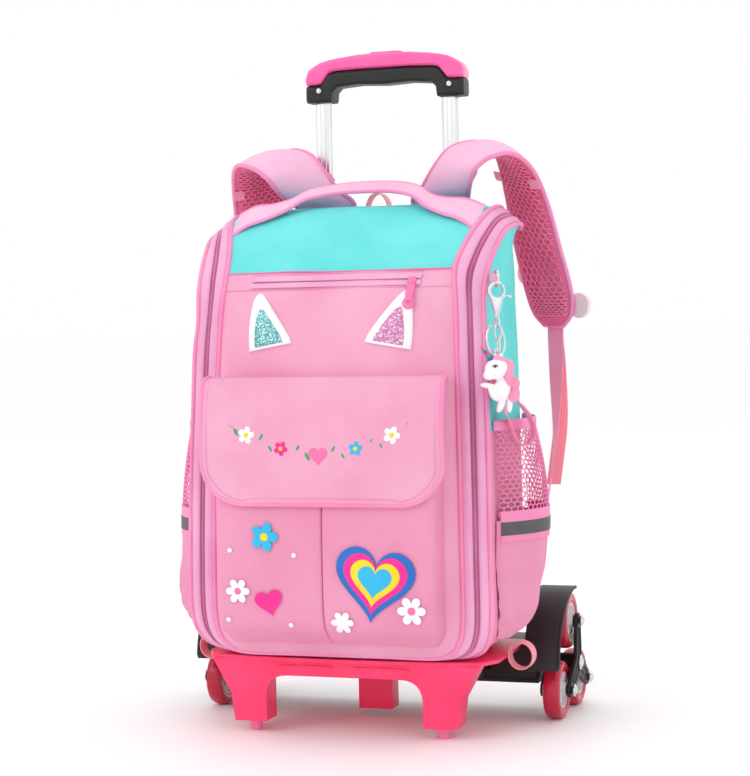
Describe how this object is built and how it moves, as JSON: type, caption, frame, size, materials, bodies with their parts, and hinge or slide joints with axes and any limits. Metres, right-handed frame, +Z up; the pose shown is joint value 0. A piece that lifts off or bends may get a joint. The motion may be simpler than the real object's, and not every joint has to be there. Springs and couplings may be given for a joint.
{
  "type": "wheeled backpack",
  "caption": "Child's school backpack on a stair-climbing trolley: zipped cloth bag with pockets and padded straps, a pull handle, a standing tray and two sets of three small wheels.",
  "frame": {"origin": "on the floor, at the middle of the footprint of the whole object", "axes": "+Z up, the bag's front faces -Y, +X to the right seen from the front"},
  "size_m": [0.4474, 0.3143, 0.7295],
  "materials": {
    "pink_cloth": "woven polyester",
    "pale_pink_cloth": "woven polyester",
    "turquoise_cloth": "woven polyester",
    "white_cloth": "coated cloth",
    "glitter_cloth": "glitter cloth",
    "coral_mesh": "knitted mesh",
    "coral_webbing": "woven webbing",
    "reflective_tape": "reflective tape",
    "clear_plastic": "translucent",
    "steel": "polished",
    "soft_white": "soft vinyl",
    "soft_pink": "silicone",
    "aluminium": "satin anodised",
    "black_plastic": "moulded",
    "grip_pink": "glossy moulded",
    "hot_pink_plastic": "moulded",
    "wheel_red": "moulded tread"
  },
  "bodies": {
    "bag_and_frame": {"bag_shell": "pink_cloth", "zip_band": "pale_pink_cloth", "piping_inner": "pink_cloth", "piping_outer": "pink_cloth", "front_panel": "pink_cloth", "top_panel": "turquoise_cloth", "zip_strip": "pale_pink_cloth", "zip_pull": "pink_cloth", "ear_left": "white_cloth", "ear_inset_left": "glitter_cloth", "ear_right": "white_cloth", "ear_inset_right": "glitter_cloth", "front_pocket": "pink_cloth", "flap": "pink_cloth", "side_pocket_base_right": "pink_cloth", "side_pocket_base_left": "pink_cloth", "side_pocket_net_right": "coral_mesh", "side_pocket_net_left": "coral_mesh", "reflective_stripe_right": "reflective_tape", "reflective_stripe_left": "reflective_tape", "grab_handle": "pale_pink_cloth", "shoulder_strap_right": "pale_pink_cloth", "shoulder_strap_left": "pale_pink_cloth", "strap_webbing_right": "pale_pink_cloth", "strap_webbing_left": "pale_pink_cloth", "webbing_tail_right": "coral_webbing", "webbing_tail_left": "coral_webbing", "chest_clip_right": "clear_plastic", "chest_clip_left": "clear_plastic", "hang_loop": "coral_webbing", "charm_tab": "pink_cloth", "charm_ring": "steel", "lobster_clasp": "steel", "split_ring": "steel", "chain_link_upper": "steel", "chain_link_lower": "steel", "pony": "soft_white", "wrist_band": "soft_pink", "sleeve_tube_right": "aluminium", "sleeve_tube_left": "aluminium", "tray": "hot_pink_plastic", "corner_loop_right": "coral_webbing", "corner_loop_left": "coral_webbing", "axle_frame": "black_plastic", "fender_right": "black_plastic", "fender_left": "black_plastic"},
    "handle": {"grip_core": "black_plastic", "grip_cover": "grip_pink", "inner_tube_right": "aluminium", "inner_tube_left": "aluminium"},
    "button": {"release_button": "grip_pink"},
    "lever": {"clasp_lever": "steel"},
    "wheel_star_right": {"star_right": "black_plastic"},
    "wheel_right_top_body": {"wheel_right_top": "wheel_red"},
    "wheel_right_front_body": {"wheel_right_front": "wheel_red"},
    "wheel_right_rear_body": {"wheel_right_rear": "wheel_red"},
    "wheel_star_left": {"star_left": "black_plastic"},
    "wheel_left_top_body": {"wheel_left_top": "wheel_red"},
    "wheel_left_front_body": {"wheel_left_front": "wheel_red"},
    "wheel_left_rear_body": {"wheel_left_rear": "wheel_red"}
  },
  "joints": [
    {"name": "handle_slide", "type": "slide", "parent": "bag_and_frame", "child": "handle", "axis": [0, 0, 1], "range_m": [-0.115, 0.2]},
    {"name": "release_button_press", "type": "slide", "parent": "handle", "child": "button", "axis": [0, 0, -1], "range_m": [0, 0.004]},
    {"name": "star_right_turn", "type": "hinge", "parent": "bag_and_frame", "child": "wheel_star_right", "pos_m": [0.1937, 0.08, 0.05409], "axis": [1, 0, 0], "continuous": true},
    {"name": "wheel_right_top_turn", "type": "hinge", "parent": "wheel_star_right", "child": "wheel_right_top_body", "pos_m": [0.1937, 0.08, 0.10028], "axis": [1, 0, 0], "continuous": true},
    {"name": "wheel_right_front_turn", "type": "hinge", "parent": "wheel_star_right", "child": "wheel_right_front_body", "pos_m": [0.1937, 0.04, 0.031], "axis": [1, 0, 0], "continuous": true},
    {"name": "wheel_right_rear_turn", "type": "hinge", "parent": "wheel_star_right", "child": "wheel_right_rear_body", "pos_m": [0.1937, 0.12, 0.031], "axis": [1, 0, 0], "continuous": true},
    {"name": "star_left_turn", "type": "hinge", "parent": "bag_and_frame", "child": "wheel_star_left", "pos_m": [-0.1937, 0.08, 0.05409], "axis": [1, 0, 0], "continuous": true},
    {"name": "wheel_left_top_turn", "type": "hinge", "parent": "wheel_star_left", "child": "wheel_left_top_body", "pos_m": [-0.1937, 0.08, 0.10028], "axis": [1, 0, 0], "continuous": true},
    {"name": "wheel_left_front_turn", "type": "hinge", "parent": "wheel_star_left", "child": "wheel_left_front_body", "pos_m": [-0.1937, 0.04, 0.031], "axis": [1, 0, 0], "continuous": true},
    {"name": "wheel_left_rear_turn", "type": "hinge", "parent": "wheel_star_left", "child": "wheel_left_rear_body", "pos_m": [-0.1937, 0.12, 0.031], "axis": [1, 0, 0], "continuous": true},
    {"name": "clasp_lever_turn", "type": "hinge", "parent": "bag_and_frame", "child": "lever", "pos_m": [0.17849, -0.09686, 0.45466], "axis": [0.6018, -0.7986, 0], "range_deg": [0, 18]}
  ]
}
